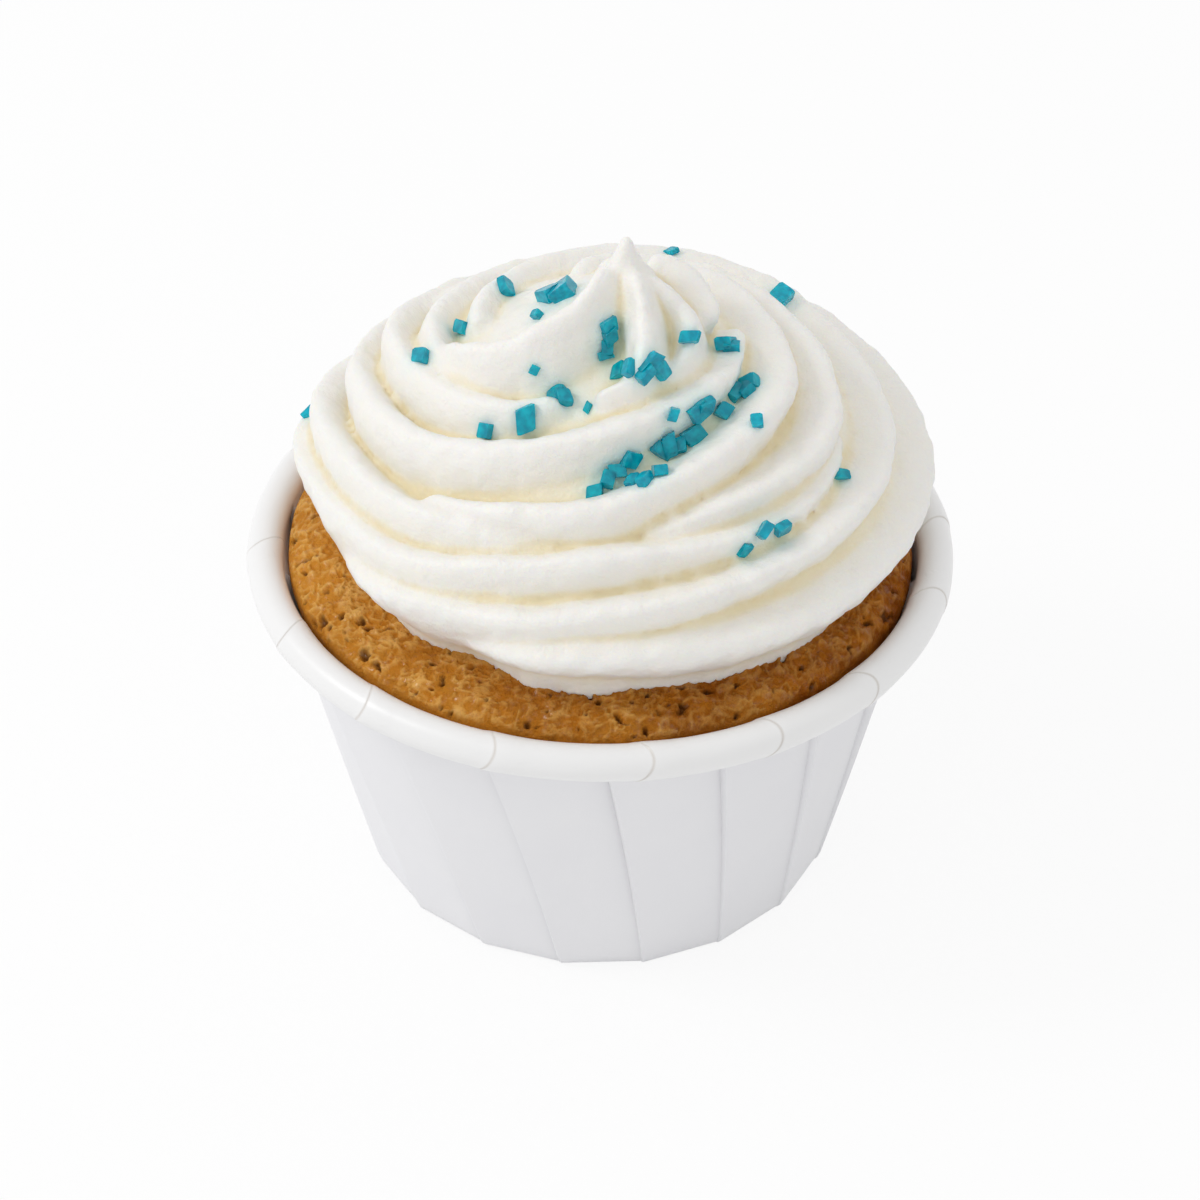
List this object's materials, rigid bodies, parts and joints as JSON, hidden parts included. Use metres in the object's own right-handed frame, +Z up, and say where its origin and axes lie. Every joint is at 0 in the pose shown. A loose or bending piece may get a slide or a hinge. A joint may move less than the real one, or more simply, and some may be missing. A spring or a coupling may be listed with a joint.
{
  "type": "cupcake",
  "caption": "Vanilla cupcake baked in a white pleated paper case with a rolled rim, topped with a piped swirl of white buttercream.",
  "frame": {"origin": "middle of the case's base, on the surface it stands on", "axes": "+Z up through the case; the view that the swirl was modelled from looks along +Y"},
  "size_m": [0.072, 0.072, 0.073],
  "materials": {
    "paper": "uncoated white paper with a smooth rolled rim",
    "sponge": "open baked crumb with a browned top",
    "buttercream": "satin, slightly pitted",
    "sugar": "glossy translucent sugar crystals"
  },
  "bodies": {
    "root": {"paper_case": "paper", "cake": "sponge", "frosting": "buttercream"}
  },
  "joints": []
}
